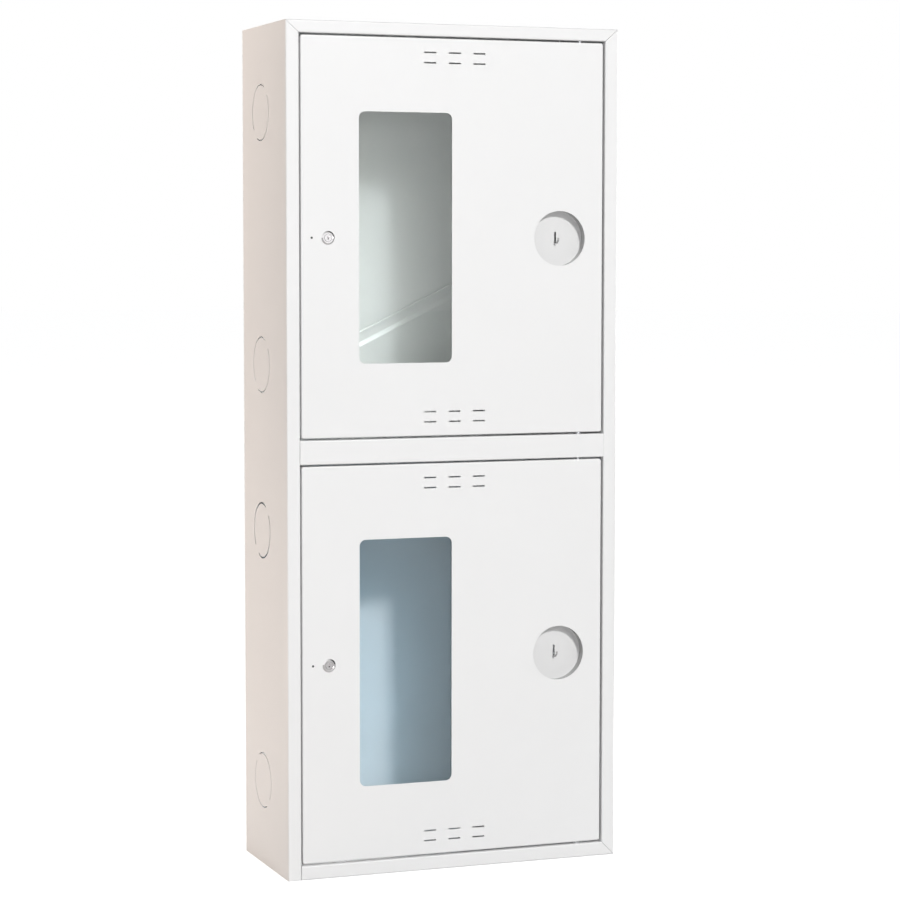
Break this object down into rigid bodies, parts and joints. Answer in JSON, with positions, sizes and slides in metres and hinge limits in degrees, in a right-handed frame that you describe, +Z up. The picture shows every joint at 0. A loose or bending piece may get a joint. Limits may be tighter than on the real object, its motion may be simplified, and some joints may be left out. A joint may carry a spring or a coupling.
{
  "type": "fire hose cabinet",
  "caption": "Tall wall-hung sheet-steel fire hose cabinet: hose compartment with a swing-out cassette over an extinguisher compartment, glazed doors with cam locks and key niches.",
  "frame": {"origin": "middle of the footprint, on the underside", "axes": "X to the right seen from the front, Y from the doors to the wall, Z up"},
  "size_m": [0.54, 0.23, 1.3],
  "materials": {
    "white_powder_coat": "semi-gloss white powder coat on folded sheet steel",
    "zinc_plated_steel": "bright zinc-plated steel",
    "chrome": "bright chrome plate",
    "black_rubber": "matt black sealing profile",
    "window_glass": "clear 3 mm pane"
  },
  "bodies": {
    "cabinet": {"left_side_panel": "white_powder_coat", "right_side_panel": "white_powder_coat", "top_panel": "white_powder_coat", "bottom_panel": "white_powder_coat", "back_panel": "white_powder_coat", "mid_shelf": "white_powder_coat", "upper_lock_strip": "white_powder_coat", "lower_lock_strip": "white_powder_coat", "upper_hinge_pins": "zinc_plated_steel", "lower_hinge_pins": "zinc_plated_steel", "cassette_wall_brackets": "white_powder_coat", "cassette_pivot_pin": "zinc_plated_steel", "cassette_pin_clip": "zinc_plated_steel"},
    "upper_door": {"upper_door_skin": "white_powder_coat", "upper_window_gasket": "black_rubber", "upper_window_pane": "window_glass", "upper_pane_clips": "zinc_plated_steel", "upper_pane_studs": "zinc_plated_steel", "upper_pane_nuts": "zinc_plated_steel", "upper_hinge_brackets": "white_powder_coat", "upper_key_niche": "white_powder_coat", "upper_seal_plug": "black_rubber", "upper_lock_housing": "chrome", "upper_lock_nut": "zinc_plated_steel"},
    "upper_lock": {"upper_lock_plug": "chrome", "upper_lock_cam": "zinc_plated_steel", "upper_lock_cam_screw": "zinc_plated_steel"},
    "lower_door": {"lower_door_skin": "white_powder_coat", "lower_window_gasket": "black_rubber", "lower_window_pane": "window_glass", "lower_pane_clips": "zinc_plated_steel", "lower_pane_studs": "zinc_plated_steel", "lower_pane_nuts": "zinc_plated_steel", "lower_hinge_brackets": "white_powder_coat", "lower_key_niche": "white_powder_coat", "lower_seal_plug": "black_rubber", "lower_lock_housing": "chrome", "lower_lock_nut": "zinc_plated_steel"},
    "lower_lock": {"lower_lock_plug": "chrome", "lower_lock_cam": "zinc_plated_steel", "lower_lock_cam_screw": "zinc_plated_steel"},
    "hose_cassette": {"cassette_back_plate": "white_powder_coat", "cassette_trough": "white_powder_coat", "cassette_end_plate": "white_powder_coat", "cassette_hinge_plate": "white_powder_coat", "cassette_rivets": "zinc_plated_steel"}
  },
  "joints": [
    {"name": "upper_door_hinge", "type": "hinge", "parent": "cabinet", "child": "upper_door", "pos_m": [0.2085, -0.108, 0.9761], "axis": [0, 0, 1], "range_deg": [0, 160]},
    {"name": "lower_door_hinge", "type": "hinge", "parent": "cabinet", "child": "lower_door", "pos_m": [0.2085, -0.108, 0.32775], "axis": [0, 0, 1], "range_deg": [0, 160]},
    {"name": "upper_lock_turn", "type": "hinge", "parent": "upper_door", "child": "upper_lock", "pos_m": [-0.204, -0.11, 0.9761], "axis": [0, -1, 0], "range_deg": [0, 90]},
    {"name": "lower_lock_turn", "type": "hinge", "parent": "lower_door", "child": "lower_lock", "pos_m": [-0.204, -0.11, 0.32775], "axis": [0, -1, 0], "range_deg": [0, 90]},
    {"name": "hose_cassette_swing", "type": "hinge", "parent": "cabinet", "child": "hose_cassette", "pos_m": [0.246, -0.05, 0.803], "axis": [0, 0, 1], "range_deg": [0, 65]}
  ],
  "couplings": [
    {"joint": "hose_cassette_swing", "follows": "upper_door_hinge", "ratio": 0.40625}
  ]
}
